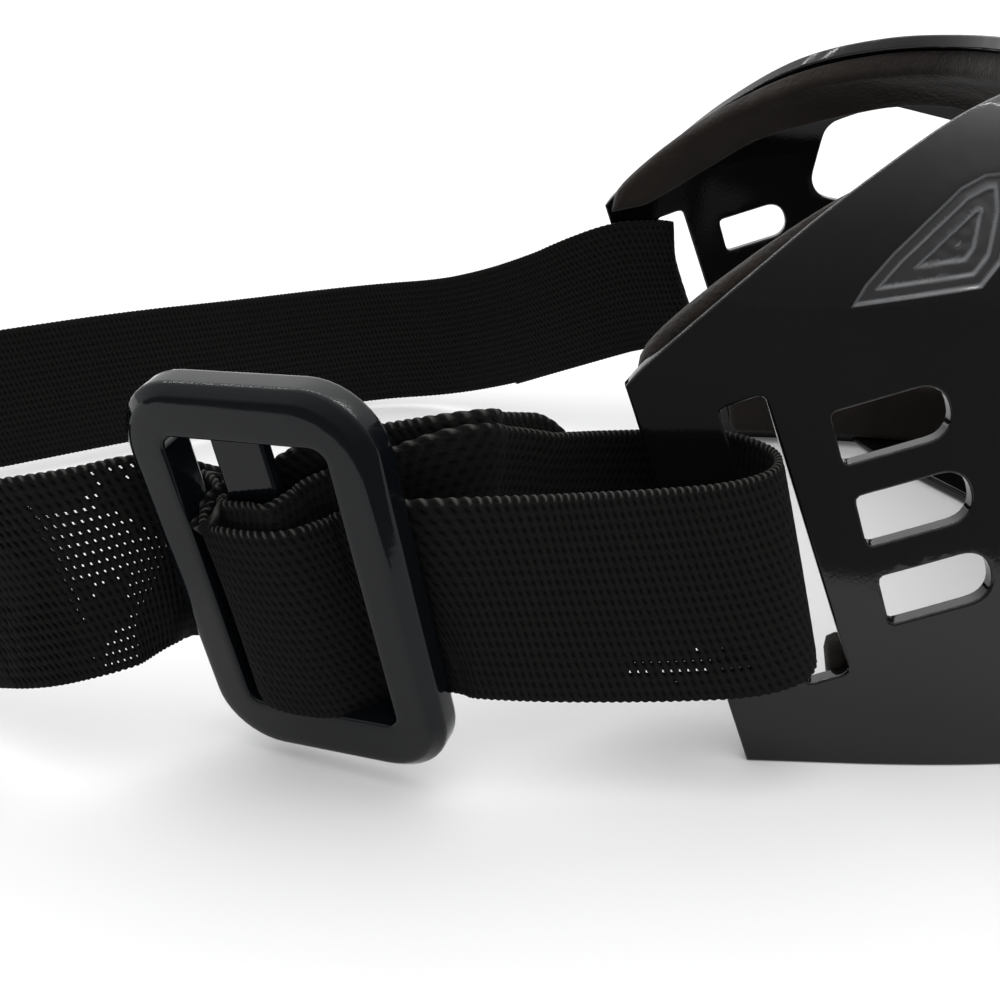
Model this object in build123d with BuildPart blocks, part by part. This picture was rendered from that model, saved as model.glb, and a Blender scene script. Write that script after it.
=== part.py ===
from build123d import *
from math import cos, pi, radians, sin, tan
import os

os.makedirs("parts", exist_ok=True)

# A moulded basket muzzle on an elastic neck strap, in millimetres.
# +X points to the nose, +Y to the animal's left, +Z up. The muzzle stands on its lower edge on
# Z = 0, and the origin is the bottom centre of the whole part with its strap laid out behind it.

# ---- driving dimensions ------------------------------------------------------------------
half_width = 57.0        # outer half width of the basket across the two strap tabs
wall = 2.0               # moulded wall
taper_start_x = 48.0     # the side walls are parallel behind this
nose_x = 133.5           # foremost point of the nose
rear_x = 14.0            # the mould's body starts here, behind the tabs
form_stations = [rear_x, 24.0, 34.0, 44.0, 54.0, 65.0, 76.0, 87.0, 98.0, 108.0, 116.0, 123.0, 128.5, 132.0]
lower_rear_x = 37.4      # the tab's lower rear corner, on the floor
tab_x, tab_z = 21.6, 45.0
rim_points = [(24.0, 47.8), (33.5, 56.6), (42.6, 64.2), (54.0, 71.4), (66.0, 75.0), (77.0, 76.2)]
lean = 20.5              # degrees that the tab, its slot and its vents lean from upright

slot_centre = (39.6, 27.4)
slot_long, slot_wide, slot_corner = 34.5, 4.9, 0.7
vent_long, vent_wide = 11.6, 6.0
first_vent = (49.2, 41.5)
vent_pitch = 9.9
vent_count = 3

foam_thick = 4.0

strap_wide = 25.0
strap_thick = 1.3

slider_centre = (-12.3, -65.0, 25.7)
slider_along = (0.931, -0.356, 0.075)       # the slider leans over on the slack strap
slider_outward = (-0.333, -0.917, -0.220)
slider_long, slider_wide = 47.5, 29.5
window_long, window_wide = 34.8, 18.9
window_lift = 0.6        # the window sits this far above the middle of the slider
slider_thick, bar_thick = 4.4, 1.6
bar_wide = 6.4
bar_shift = 2.3          # the bar is this far behind the middle, towards the neck
bar_set_back = 1.0
strap_drop = 4.0         # the strap rides this far below the middle of the slider


# ---- the basket's outer form -------------------------------------------------------------
def section_size(x):
    """Half width and height of the outer form at a station along X."""
    u = max(0.0, (x - taper_start_x) / (nose_x - taper_start_x))
    width = half_width * (1 - u ** 2.3) ** 0.55
    height = 79.4 - 6.0 * u - 40.0 * u ** 3.2
    return width, height


def section_points(x, inset, sides=12, squareness=4.2):
    """Superellipse arch over the station at x, from the right foot to the left foot."""
    width, height = section_size(x)
    shoulder = 0.40 * height
    power = 2 / squareness
    points = []
    for step in range(sides + 1):
        turn = pi * step / sides
        across = abs(cos(turn)) ** power * (1 if cos(turn) > 0 else -1)
        up = abs(sin(turn)) ** power
        points.append((across * (width - inset), shoulder + up * (height - inset - shoulder)))
    return points


def basket_form(inset, floor_z, front_x=nose_x):
    """Loft of the arches; inset shrinks it for the cavity, and front_x cuts it short."""
    stations = [x for x in form_stations if x < front_x]
    with BuildPart() as form:
        for x in stations:
            points = section_points(x, inset)
            with BuildSketch(Plane(origin=(x - inset * (x > 100), 0, 0), x_dir=(0, 1, 0), z_dir=(1, 0, 0))):
                with BuildLine():
                    arch = Spline(*points, tangents=((0, 1), (0, -1)))
                    left = Line(arch @ 1, ((arch @ 1).X, floor_z))
                    floor = Line(left @ 1, ((arch @ 0).X, floor_z))
                    Line(floor @ 1, arch @ 0)
                make_face()
        loft()
    return form.part


# ---- side-view outlines, drawn on XZ -----------------------------------------------------
SIDE = Plane(origin=(0, 0, 0), x_dir=(1, 0, 0), z_dir=(0, -1, 0))
across_all = 2 * half_width + 20


def side_prism(outline, reach=across_all / 2):
    """Prism through both walls, from an outline drawn in the side view."""
    with BuildPart() as prism:
        with BuildSketch(SIDE):
            with BuildLine():
                outline()
            make_face()
        extrude(amount=reach, both=True)
    return prism.part


def kept_outline():
    """What the leaning rear edge and the rim leave of the basket."""
    edge = Line((lower_rear_x, 0), (tab_x, tab_z))
    rim = Spline(edge @ 1, *rim_points, tangents=((0.45, 1), (1, 0.3)))
    Polyline(rim @ 1, ((rim @ 1).X + 4, 90), (nose_x + 10, 90), (nose_x + 10, 0), edge @ 0)


def rim_band_outline():
    """Band just inside the rim, where the rim foam is glued."""
    proud = (1.4, 1.6, 0.2, -0.9, -0.9, -0.9)      # the foam shows above the rim beside the tabs
    upper = [(tab_x + 1.2, tab_z - 0.6)]
    upper += [(x + 0.4, z + rise) for (x, z), rise in zip(rim_points, proud)] + [(78.5, 90)]
    lower = [(89.5, 90), (89.5, 66.5), (80.0, 67.5), (71.0, 66.5), (60.0, 62.8), (49.0, 58.8), (41.0, 53.6),
             (34.5, 49.2), (29.0, 45.8)]
    Polyline(*upper, *lower, close=True)


def low_band_outline():
    """Band along the lower edge, where the two lower foam strips are glued."""
    Polyline((47.6, 1.2), (45.4, 14.6), (96.0, 13.0), (96.0, 1.2), close=True)


# ---- basket ------------------------------------------------------------------------------
outer_form = basket_form(0, -1.0)
cavity_form = basket_form(wall, wall)
foam_face = basket_form(wall + foam_thick, 0, front_x=110.0)
kept_side = side_prism(kept_outline)

vent_lean = radians(lean)
vent_step = (sin(vent_lean) * vent_pitch, -cos(vent_lean) * vent_pitch)
vent_front_round, vent_rear_round = 2.5, 0.7
window_corners = [(58.5, 47.5), (60.5, 60.5), (70.0, 64.5), (92.0, 59.5), (101.0, 47.0), (80.0, 44.0)]
low_window_corners = [(70.0, 20.0), (66.5, 36.0), (96.0, 38.0), (106.0, 33.0), (104.0, 20.0)]

with BuildSketch() as vent:
    Rectangle(vent_long, vent_wide)
    fillet(vent.vertices().group_by(Axis.X)[-1], radius=vent_front_round)
    fillet(vent.vertices().group_by(Axis.X)[0], radius=vent_rear_round)

with BuildPart() as shell:
    add(outer_form)
    add(cavity_form, mode=Mode.SUBTRACT)
    add(kept_side, mode=Mode.INTERSECT)
    # the jaw opening underneath, behind the chin plate
    with BuildSketch(Plane.XY.offset(-5)):
        with BuildLine():
            jaw_arc = ThreePointArc((72.0, 49.0), (90.0, 0), (72.0, -49.0))
            Polyline(jaw_arc @ 1, (50.0, -(half_width - wall)), (rear_x, -(half_width - wall)),
                     (rear_x, half_width - wall), (50.0, half_width - wall), jaw_arc @ 0)
        make_face()
    extrude(amount=5 + wall + 0.5, mode=Mode.SUBTRACT)
    # strap slots, one through each tab
    with BuildSketch(SIDE):
        with Locations(slot_centre):
            RectangleRounded(slot_long, slot_wide, slot_corner, rotation=90 + lean)
    extrude(amount=across_all / 2, both=True, mode=Mode.SUBTRACT)
    # breathing vents beside the slots
    with BuildSketch(SIDE):
        for row in range(vent_count):
            spot = (first_vent[0] + row * vent_step[0], first_vent[1] + row * vent_step[1])
            with Locations(spot):
                add(vent.sketch, rotation=lean - 2)
    extrude(amount=across_all / 2, both=True, mode=Mode.SUBTRACT)
    # large side windows, upper and lower
    for corners in (window_corners, low_window_corners):
        with BuildSketch(SIDE) as window:
            with BuildLine():
                Polyline(*corners, close=True)
            make_face()
            fillet(window.vertices(), radius=4.0)
        extrude(amount=across_all / 2, both=True, mode=Mode.SUBTRACT)
    # nose grille: pill slots through the front
    with BuildSketch(Plane.YZ.offset(112)):
        for up, count, pitch in ((25.0, 4, 13.0), (40.0, 2, 13.0)):
            for k in range(count):
                with Locations(((k - (count - 1) / 2) * pitch, up)):
                    SlotOverall(11.0, 5.0, rotation=90)
    extrude(amount=30, mode=Mode.SUBTRACT)
    # bridge slots through the roof
    with BuildSketch(Plane.XY.offset(45)):
        for across, along in ((-20.0, 98.0), (0.0, 103.0), (20.0, 98.0)):
            with Locations((along, across)):
                SlotOverall(18.0, 5.5)
    extrude(amount=60, mode=Mode.SUBTRACT)
shell.part.label = "shell"


# ---- foam strips glued inside the basket -------------------------------------------------
with BuildPart() as rim_foam:
    add(cavity_form)
    add(side_prism(rim_band_outline), mode=Mode.INTERSECT)
    add(foam_face, mode=Mode.SUBTRACT)
rim_foam.part.label = "rim_foam"

with BuildPart() as low_foam_pair:
    add(cavity_form)
    add(side_prism(low_band_outline), mode=Mode.INTERSECT)
    add(foam_face, mode=Mode.SUBTRACT)
foam_sides = low_foam_pair.part.solids().sort_by(Axis.Y)
with BuildPart() as lower_foam_right:
    add(foam_sides[0])
lower_foam_right.part.label = "lower_foam_right"
with BuildPart() as lower_foam_left:
    add(foam_sides[-1])
lower_foam_left.part.label = "lower_foam_left"


# ---- elastic strap -----------------------------------------------------------------------
def smooth_path(points):
    """Straight runs joined by arcs as large as the runs allow."""
    radii = []
    for before, corner, after in zip(points, points[1:], points[2:]):
        run_in = Vector(*corner) - Vector(*before)
        run_out = Vector(*after) - Vector(*corner)
        turn = radians(run_in.get_angle(run_out))
        radii.append(0.45 * min(run_in.length, run_out.length) / tan(turn / 2))
    return FilletPolyline(*points, radius=radii)


def ribbon(points, low_edge, lean_angle=0.0, mid_z=0.0, inner_low_edge=None, split_y=0.0):
    """Upright band of webbing along a plan route; low_edge gives its lower edge as (x, z).

    Where the band doubles back, inner_low_edge is the lower edge of the stretch beyond split_y.
    """
    slope = tan(radians(lean_angle))
    halves = [(low_edge, -across_all), (inner_low_edge or low_edge, across_all)]
    with BuildPart() as heights:
        for edge, reach in halves:
            with BuildSketch(SIDE.offset(-split_y)):
                with BuildLine():
                    Polyline(*edge, *[(x, z + strap_wide) for x, z in reversed(edge)], close=True)
                make_face()
            extrude(amount=-reach)
    with BuildPart() as band:
        with BuildSketch(Plane(origin=(slope * mid_z, 0, 0))):
            with BuildLine():
                smooth_path(points)
            trace(line_width=strap_thick)
        extrude(amount=60 / cos(radians(lean_angle)), dir=(-slope, 0, 1))
        add(heights.part, mode=Mode.INTERSECT)
    return band.part


slot_z = slot_centre[1]
fold_y = -57.4
adjusting_route = [(9.9, -58.3), (14.2, -53.0), (20.0, -48.4), (28.0, -46.6), (34.2, -48.8), (38.0, -53.0),
                   (39.3, fold_y), (38.4, -61.6), (34.0, -64.3), (26.5, -64.8), (17.0, -65.8), (7.9, -67.6)]
adjusting_low_edge = [(0.0, 11.2), (20.0, 12.5), (33.0, 12.9), (39.3, 13.4), (52.0, 14.4)]
adjusting_inner_edge = [(0.0, 17.0), (10.0, 16.4), (16.0, 13.8), (24.0, 12.6), (39.3, 13.4), (52.0, 14.4)]
near_route = [(-27.3, -53.0), (-30.9, -57.6), (-35.2, -62.6), (-40.5, -65.0), (-46.5, -63.2)]
near_low_edge = [(-20.0, 12.4), (-33.0, 12.4), (-38.0, 12.0), (-47.0, 9.8), (-55.0, 7.4)]
neck_near_route = [(-47.0, -62.9), (-59.0, -56.0), (-78.0, -48.5), (-99.0, -43.0), (-117.0, -36.5),
                   (-128.5, -27.0), (-131.9, -15.0)]
neck_near_low_edge = [(-40.0, 11.7), (-47.0, 9.8), (-65.0, 5.0), (-85.0, 1.8), (-140.0, 0.8)]
neck_far_route = [(-131.9, -15.0), (-125.5, -3.0), (-108.0, 9.0), (-86.0, 23.5), (-66.0, 38.0), (-50.0, 52.5),
                  (-37.0, 65.0), (-24.0, 71.8), (-11.0, 71.4), (0.0, 65.2), (9.5, 58.4), (17.5, 54.2)]
neck_far_low_edge = [(-140.0, 0.8), (-100.0, 2.2), (-67.0, 3.0), (-30.0, 0.5), (-11.0, 2.2), (0.0, 6.0), (11.0, 11.2), (24.0, 15.8)]
far_end_route = [(11.5, 57.0), (18.0, 54.0), (27.0, 52.9), (33.2, 52.9), (37.3, 54.3), (38.5, 57.0),
                 (35.8, 59.4), (30.0, 60.0), (22.0, 59.2), (12.0, 60.0), (5.0, 63.9)]
far_end_low_edge = [(-8.0, 4.8), (11.0, 11.2), (24.0, 15.8), (52.0, 16.4)]

with BuildPart() as adjusting_run:
    add(ribbon(adjusting_route, adjusting_low_edge, lean, slot_z, adjusting_inner_edge, fold_y))
adjusting_run.part.label = "adjusting_run"

with BuildPart() as near_run:
    add(ribbon(near_route, near_low_edge))
near_run.part.label = "near_run"

with BuildPart() as neck_strap:
    add(ribbon(neck_near_route, neck_near_low_edge))
    add(ribbon(neck_far_route, neck_far_low_edge))
    add(ribbon(far_end_route, far_end_low_edge, lean, slot_z))
neck_strap.part.label = "neck_strap"

# ---- slider, in its own tilted plane: x along the strap, y up the bar, z outwards --------
slider_plane = Plane(origin=slider_centre, x_dir=slider_along, z_dir=slider_outward)
slider_corner, window_corner, slider_bevel = 7.5, 1.6, 1.3

with BuildPart() as slider:
    with BuildSketch(slider_plane):
        RectangleRounded(slider_wide, slider_long, slider_corner)
        with Locations((0, window_lift)):
            RectangleRounded(window_wide, window_long, window_corner, mode=Mode.SUBTRACT)
    extrude(amount=slider_thick / 2, both=True)
    front_edges = slider.faces().sort_by(Axis(slider_plane.origin, slider_plane.z_dir))[-1].outer_wire().edges()
    chamfer(front_edges, length=slider_bevel)
    with BuildSketch(slider_plane.offset(-bar_set_back)):
        with Locations((-bar_shift, window_lift)):
            Rectangle(bar_wide, window_long + 2)
    extrude(amount=bar_thick / 2, both=True)
slider.part.label = "slider"

# ---- webbing held by the slider, drawn across the bar: x along the strap, y outwards -----
strap_plane = Plane(origin=slider_plane.origin - slider_plane.y_dir * strap_drop,
                    x_dir=slider_plane.x_dir, z_dir=-slider_plane.y_dir)
hump_route = [(-17.0, -6.6), (-12.5, -5.5), (-8.5, -4.5), (-7.9, 2.2), (2.1, 2.2), (6.4, -3.3), (11.5, -3.5),
              (17.2, -2.9)]
sewn_route = [(17.0, -9.3), (10.5, -6.0), (3.9, -3.9), (2.2, -1.0), (1.1, 0.75), (-5.7, 0.75), (-6.8, -1.0),
              (-5.7, -2.9), (-0.1, -3.5), (4.3, -5.9), (10.5, -7.6), (17.4, -11.0)]


def band_on_slider(points):
    with BuildPart() as band:
        with BuildSketch(strap_plane):
            with BuildLine():
                smooth_path(points)
            trace(line_width=strap_thick)
        extrude(amount=strap_wide / 2, both=True)
    return band.part


with BuildPart() as slider_hump:
    add(band_on_slider(hump_route))
slider_hump.part.label = "slider_hump"

with BuildPart() as sewn_loop:
    add(band_on_slider(sewn_route))
sewn_loop.part.label = "sewn_loop"

# ---- bar tacks: rows of thread across the sewn ends --------------------------------------
thread_wide, thread_high = 0.8, 0.5
tack_long = 19.0
tack_lift = strap_thick / 2 + thread_high / 2 + 0.02

with BuildPart() as near_bar_tack:
    slant = -27.6
    with BuildSketch(strap_plane):
        for along, out in ((11.8, -6.58), (13.4, -7.42), (15.0, -8.25)):
            spot = (along - tack_lift * sin(radians(slant)), out + tack_lift * cos(radians(slant)))
            with Locations(spot):
                Rectangle(thread_wide, thread_high, rotation=slant)
    extrude(amount=tack_long / 2, both=True)
near_bar_tack.part.label = "near_bar_tack"

with BuildPart() as far_bar_tack:
    slant = -24.8
    slope = tan(radians(lean))
    with BuildSketch(Plane(origin=(slope * slot_z, 0, 0))):
        for x, y in ((13.4, 56.12), (14.9, 55.43), (16.4, 54.74)):
            with Locations((x + tack_lift * sin(radians(slant)), y - tack_lift * cos(radians(slant)))):
                Rectangle(thread_wide, thread_high, rotation=slant)
    extrude(amount=60 / cos(radians(lean)), dir=(-slope, 0, 1))
    with BuildSketch(Plane.XY.offset(slot_z - 1.5)):
        Rectangle(across_all, 2 * across_all)
    extrude(amount=tack_long / 2, both=True, mode=Mode.INTERSECT)
far_bar_tack.part.label = "far_bar_tack"

parts = (shell, rim_foam, lower_foam_right, lower_foam_left, neck_strap, adjusting_run, near_run,
         sewn_loop, slider_hump, near_bar_tack, far_bar_tack, slider)
for piece in parts:
    export_step(piece.part, f"parts/{piece.part.label}.step")
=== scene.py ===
from math import ceil, cos, pi, radians, sin, tan
from random import Random

import bpy
import numpy as np
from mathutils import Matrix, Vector
from mathutils.geometry import delaunay_2d_cdt


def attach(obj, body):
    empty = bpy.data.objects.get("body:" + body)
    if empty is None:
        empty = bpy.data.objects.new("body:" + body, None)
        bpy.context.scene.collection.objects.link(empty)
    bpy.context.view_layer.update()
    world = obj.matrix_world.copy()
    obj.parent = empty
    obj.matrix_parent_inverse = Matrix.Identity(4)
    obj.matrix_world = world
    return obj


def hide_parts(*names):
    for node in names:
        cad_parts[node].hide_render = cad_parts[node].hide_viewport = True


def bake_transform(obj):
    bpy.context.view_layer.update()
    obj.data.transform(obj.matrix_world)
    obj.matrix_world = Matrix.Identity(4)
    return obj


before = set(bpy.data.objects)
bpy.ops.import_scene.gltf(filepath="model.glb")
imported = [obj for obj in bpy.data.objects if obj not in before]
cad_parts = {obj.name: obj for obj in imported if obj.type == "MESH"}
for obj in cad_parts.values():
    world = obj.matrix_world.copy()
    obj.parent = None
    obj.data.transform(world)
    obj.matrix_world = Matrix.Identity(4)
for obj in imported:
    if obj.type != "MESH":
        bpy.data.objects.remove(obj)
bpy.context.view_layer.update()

MM = 0.001      # lengths below are in millimetres, in the part's own frame
CORNERS = ((1, 1, 0), (-1, 1, 90), (-1, -1, 180), (1, -1, 270))     # two signs and a start angle each

# ---- the basket's form, the same as the part's ----
HALF_WIDTH, WALL = 57.0, 2.0
TAPER_X, NOSE_X = 48.0, 133.5
PLAN_POWERS = (2.3, 0.55)
ROOF_HIGH, ROOF_FALL, NOSE_FALL, NOSE_POWER = 79.4, 6.0, 40.0, 3.2
SHOULDER, ARCH_POWER = 0.40, 4.2     # the arch starts at this share of the height
ROOF_SHARE = 0.6                     # the arch is nearly level within this share of its half width
TAB = (21.6, 45.0)
LOWER_REAR_X = 37.4
RIM = [(24.0, 47.8), (33.5, 56.6), (42.6, 64.2), (54.0, 71.4), (66.0, 75.0), (77.0, 76.2)]
LEAN = 20.5
SLOT_CENTRE, SLOT_LONG, SLOT_WIDE, SLOT_CORNER = (39.6, 27.4), 34.5, 4.9, 0.7
FIRST_VENT, VENT_LONG, VENT_WIDE, VENT_PITCH = (49.2, 41.5), 11.6, 6.0, 9.9
WINDOW = [(58.5, 47.5), (60.5, 60.5), (70.0, 64.5), (92.0, 59.5), (101.0, 47.0), (80.0, 44.0)]
LOW_WINDOW = [(70.0, 20.0), (66.5, 36.0), (96.0, 38.0), (106.0, 33.0), (104.0, 20.0)]
NOSE_SLOT_ROWS, NOSE_SLOT_PITCH = ((25.0, 4), (40.0, 2)), 13.0     # height and number in a row
ROOF_SLOT_SPOTS = ((98.0, -20.0), (98.0, 20.0), (103.0, 0.0))
NOSE_SLOT, ROOF_SLOT = (5.0, 11.0, 0, 2.4), (18.0, 5.5, 0, 2.7)    # long, wide, turn and corners
CUT_STEP = 0.5                       # spacing of an opening's points before it is laid over the form
JAW_ARC = [(72.0, 49.0), (90.0, 0.0), (72.0, -49.0)]
FOAM_THICK = 4.0
FORM_MIDDLE = (60.0, 0.0, 25.0)     # a place well inside the basket

# ---- the slider and the webbing ----
SLIDER_CENTRE = (-12.3, -65.0, 25.7)
SLIDER_ALONG = (0.931, -0.356, 0.075)
SLIDER_OUTWARD = (-0.333, -0.917, -0.220)
SLIDER_LONG, SLIDER_WIDE = 47.5, 29.5
SLIDER_WINDOW = (18.9, 34.8)
SLIDER_BOW = 0.105     # how far the frame's ends bend back
# (inset, height) round the section of the 4.4 thick frame: its outer side, then the window's side
SLIDER_SIDE = [(1.0, -2.2), (0.45, -2.08), (0.1, -1.7), (0.0, -1.3), (0.0, 0.65), (0.05, 0.9), (0.22, 1.2),
               (0.95, 1.93), (1.15, 2.08), (1.5, 2.18), (2.2, 2.2)]
WINDOW_EDGE = [(1.0, 2.2), (0.35, 2.17), (0.12, 2.06), (0.0, 1.75)]
WINDOW_SIDE = WINDOW_EDGE + [(inset, -height) for inset, height in WINDOW_EDGE[::-1]]
WINDOW_LIFT = 0.6
BAR_WIDE, BAR_SHIFT, BAR_THICK, BAR_SET_BACK = 6.4, 2.3, 1.6, 1.0

STRAP_WIDE = 25.0
STITCH_LONG, STITCH_TALL = 0.83, 1.25


def mm(*values):
    return tuple(v * MM for v in values)


def running_length(points):
    """Length along a line of points, up to each of them."""
    return np.concatenate([[0], np.cumsum(np.linalg.norm(np.diff(points, axis=0), axis=1))])


def ends_added(points):
    """The points with one more beyond each end, in line with the last two."""
    p = np.asarray(points, float)
    return np.vstack([2 * p[0] - p[1], p, 2 * p[-1] - p[-2]])


def grey(light):
    return light, light, light


def unit(ways):
    """Directions of length 1, one for each row."""
    return ways / np.linalg.norm(ways, axis=-1, keepdims=True)


def add_object(name, data):
    made = bpy.data.objects.new(name, data)
    bpy.context.scene.collection.objects.link(made)
    return made


def set_inputs(node, inputs):
    """Sets a node's inputs, each to a number, a colour or another node's output."""
    for key, value in inputs.items():
        socket = node.inputs[key]
        if isinstance(value, bpy.types.NodeSocket):
            node.id_data.links.new(value, socket)
        else:
            socket.default_value = (*value, 1) if socket.type == "RGBA" else value


def add_node(tree, kind, inputs, output=0, **settings):
    """A new node's output."""
    node = tree.nodes.new("ShaderNode" + kind)
    for key, value in settings.items():
        setattr(node, key, value)
    set_inputs(node, inputs)
    return node.outputs[output]


def multiply(tree, first, second):
    return add_node(tree, "Math", {0: first, 1: second}, operation="MULTIPLY")


def span(tree, source, low, high, start=0.3, stop=0.7):
    """source from start to stop, as a value from low to high."""
    return add_node(tree, "MapRange", {"Value": source, "From Min": start, "From Max": stop,
                                       "To Min": low, "To Max": high})


def material(name, inputs):
    """A new material, its node tree and its shader, with the shader's inputs set."""
    made = bpy.data.materials.new(name)
    made.use_nodes = True
    shader = made.node_tree.nodes["Principled BSDF"]
    set_inputs(shader, inputs)
    return made, made.node_tree, shader


# ---- camera, light and floor ----
# light from a direction, as (place, light) stops; place 0 is one end of the axis and 1 the other
LIGHT_ALONG_Y = [(0.0, 0.4), (0.38, 0.6), (0.6, 0.9), (1.0, 1.3)]
LIGHT_ALONG_Z = [(0.0, 0.5), (0.5, 0.62), (0.8, 1.6), (1.0, 3.0)]
# the set below is in metres
FLOOR_REACH, CARD_REACH, CARD_FRONT, CARD_LIFT = 60.0, 30.0, -0.105, 0.001
LED_ROWS = ((0.03, 0.42), (0.12, 0.44))     # y and height of each row
LED_HALF, LED_PITCH, LED_COUNT = 0.003, 0.011, 84


def camera():
    data = bpy.data.cameras.new("camera")
    data.lens = 45.0
    data.sensor_width = 36.0
    data.clip_start = 0.01
    data.dof.use_dof = False
    eye = add_object("camera", data)
    eye.location = mm(16.0, -180.75, 83.7)
    eye.rotation_euler = (radians(67.4), 0, radians(3.38))
    bpy.context.scene.camera = eye


def light_curve(tree, source, stops):
    """A smooth curve over source from -1 to 1, with (place, light) stops."""
    curve = tree.nodes.new("ShaderNodeFloatCurve")
    top = max(light for _, light in stops)
    points = curve.mapping.curves[0].points
    for k, (place, light) in enumerate(stops):
        if k < 2:
            points[k].location = (place, light / top)
        else:
            points.new(place, light / top)
    curve.mapping.update()
    set_inputs(curve, {"Value": span(tree, source, 0.0, 1.0, -1.0, 1.0)})
    return multiply(tree, curve.outputs["Value"], top)


def studio():
    """A white room, brightest above and behind the object and dim on the camera's side."""
    world = bpy.data.worlds.new("studio")
    bpy.context.scene.world = world
    world.use_nodes = True
    tree = world.node_tree
    split = add_node(tree, "SeparateXYZ", {0: add_node(tree, "TexCoord", {}, "Generated")}).node
    forward = light_curve(tree, split.outputs["Y"], LIGHT_ALONG_Y)
    overhead = light_curve(tree, split.outputs["Z"], LIGHT_ALONG_Z)
    set_inputs(tree.nodes["Background"], {"Color": multiply(tree, forward, overhead), "Strength": 1.0})
    sun = bpy.data.lights.new("softbox", "SUN")
    sun.energy = 1.7
    sun.angle = radians(60)
    lamp = add_object("softbox", sun)
    lamp.rotation_euler = (radians(24), radians(12), 0)
    lamp.visible_glossy = False
    bpy.context.scene.view_settings.view_transform = "Standard"


def stage_piece(name, verts, faces, colour, glow, shine=0.0, roughness=0.9):
    """A piece of the set, in metres; glow is how much light it gives off by itself."""
    mesh = bpy.data.meshes.new(name)
    mesh.from_pydata(verts, [], faces)
    look, _, _ = material(name, {"Base Color": colour, "Roughness": roughness, "Specular IOR Level": shine,
                                 "Emission Color": colour, "Emission Strength": glow})
    mesh.materials.append(look)
    made = add_object(name, mesh)
    return made


def level_box(middle, half, height):
    """Corners of a level rectangle, from its middle and half its two sides."""
    return [(middle[0] + sx * half[0], middle[1] + sy * half[1], height) for sx, sy, _ in CORNERS]


def floor():
    """A pale floor with a faint glow, which stands in for the light of the white room."""
    corners = level_box((0.0, 0.0), (FLOOR_REACH, FLOOR_REACH), 0.0)
    stage_piece("floor", corners, [(0, 1, 2, 3)], (0.59, 0.59, 0.594), 0.12)


def front_card():
    """A dark grey card on the floor in front of the object, seen only in its reflections."""
    middle, half = (CARD_FRONT - CARD_REACH) / 2, (CARD_FRONT + CARD_REACH) / 2
    corners = level_box((0.0, middle), (CARD_REACH, half), CARD_LIFT)
    card = stage_piece("front_card", corners, [(0, 1, 2, 3)], (0.11, 0.11, 0.114), 0.0)
    card.visible_camera = False
    card.visible_diffuse = False
    card.visible_shadow = False


def led_strips():
    """Rows of small bright lamps overhead, for the small highlights on glossy edges."""
    verts, faces = [], []
    for y, height in LED_ROWS:
        for k in range(LED_COUNT):
            x = (k - (LED_COUNT - 1) / 2) * LED_PITCH
            base = len(verts)
            verts += level_box((x, y), (LED_HALF, LED_HALF), height)
            faces.append((base, base + 3, base + 2, base + 1))
    lamps = stage_piece("led_strips", verts, faces, (1, 1, 1), 60.0, 0.5, 0.5)
    lamps.visible_camera = False
    lamps.visible_diffuse = False


# ---- materials ----
def noise(tree, scale, detail, stretch=None):
    """Noise over the object's own coordinates, in features per metre."""
    point = add_node(tree, "TexCoord", {}, "Object")
    if stretch:
        point = add_node(tree, "Mapping", {"Vector": point, "Scale": stretch})
    return add_node(tree, "TexNoise", {"Vector": point, "Scale": scale, "Detail": detail}, "Fac")


def bump(tree, source, height, under=None):
    """Relief of that height in metres, over the relief that under gives."""
    inputs = {"Height": source, "Distance": height, "Strength": 1.0}
    if under:
        inputs["Normal"] = under
    return add_node(tree, "Bump", inputs)


def mix_colour(tree, factor, first, second):
    return add_node(tree, "Mix", {"Factor": factor, "A": first, "B": second}, "Result", data_type="RGBA")


def point_value(tree, name):
    """The number of that name that the mesh holds at each of its points."""
    return add_node(tree, "Attribute", {}, "Fac", attribute_name=name)


def shell_plastic():
    """Glossy black, with a slightly wavy surface; the ledge panel, and most of all its steps, are painted
    paler: a painted highlight that stands in for light they reflect.
    """
    made, tree, shader = material("shell_plastic", {
        "Base Color": grey(0.003), "Roughness": 0.14, "Specular IOR Level": 0.38})
    haze = span(tree, noise(tree, 60, 5), 0.05, 0.12)
    tint = mix_colour(tree, noise(tree, 25, 3), grey(0.0018), (0.0045, 0.0042, 0.0040))
    # painted highlight: the ledge panel and its steps are mixed towards a pale grey, standing in for light
    # they reflect
    painted_highlight = mix_colour(tree, point_value(tree, "ledge"), tint, (0.110, 0.112, 0.117))
    flow = bump(tree, noise(tree, 55, 1), 0.00035)
    grain = bump(tree, noise(tree, 2600, 2), 0.000006, under=flow)
    set_inputs(shader, {"Base Color": painted_highlight, "Roughness": haze, "Normal": grain})
    return made


def slider_plastic():
    """Glossy blue-black, with fine scratches along the frame."""
    made, tree, shader = material("slider_plastic", {
        "Base Color": (0.0025, 0.0032, 0.0040), "Roughness": 0.2, "Specular IOR Level": 0.2})
    haze = span(tree, noise(tree, 160, 6), 0.05, 0.13)
    scratches = bump(tree, noise(tree, 900, 2, stretch=(0.06, 1.0, 1.0)), 0.00001)
    flow = bump(tree, noise(tree, 90, 1), 0.00012, under=scratches)
    set_inputs(shader, {"Roughness": haze, "Normal": flow})
    return made


def foam_cloth():
    """Matt brown-black foam with a cloth face and soft dents."""
    made, tree, shader = material("foam", {
        "Base Color": (0.018, 0.014, 0.012), "Roughness": 0.95, "Specular IOR Level": 0.1,
        "Sheen Weight": 0.1, "Sheen Roughness": 0.5})
    weave = noise(tree, 1500, 3)
    blotch = noise(tree, 90, 3)
    colour = mix_colour(tree, blotch, (0.007, 0.0058, 0.005), (0.019, 0.015, 0.0125))
    face = bump(tree, weave, 0.00025, under=bump(tree, blotch, 0.0012))
    set_inputs(shader, {"Base Color": colour, "Normal": face})
    return made


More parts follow.
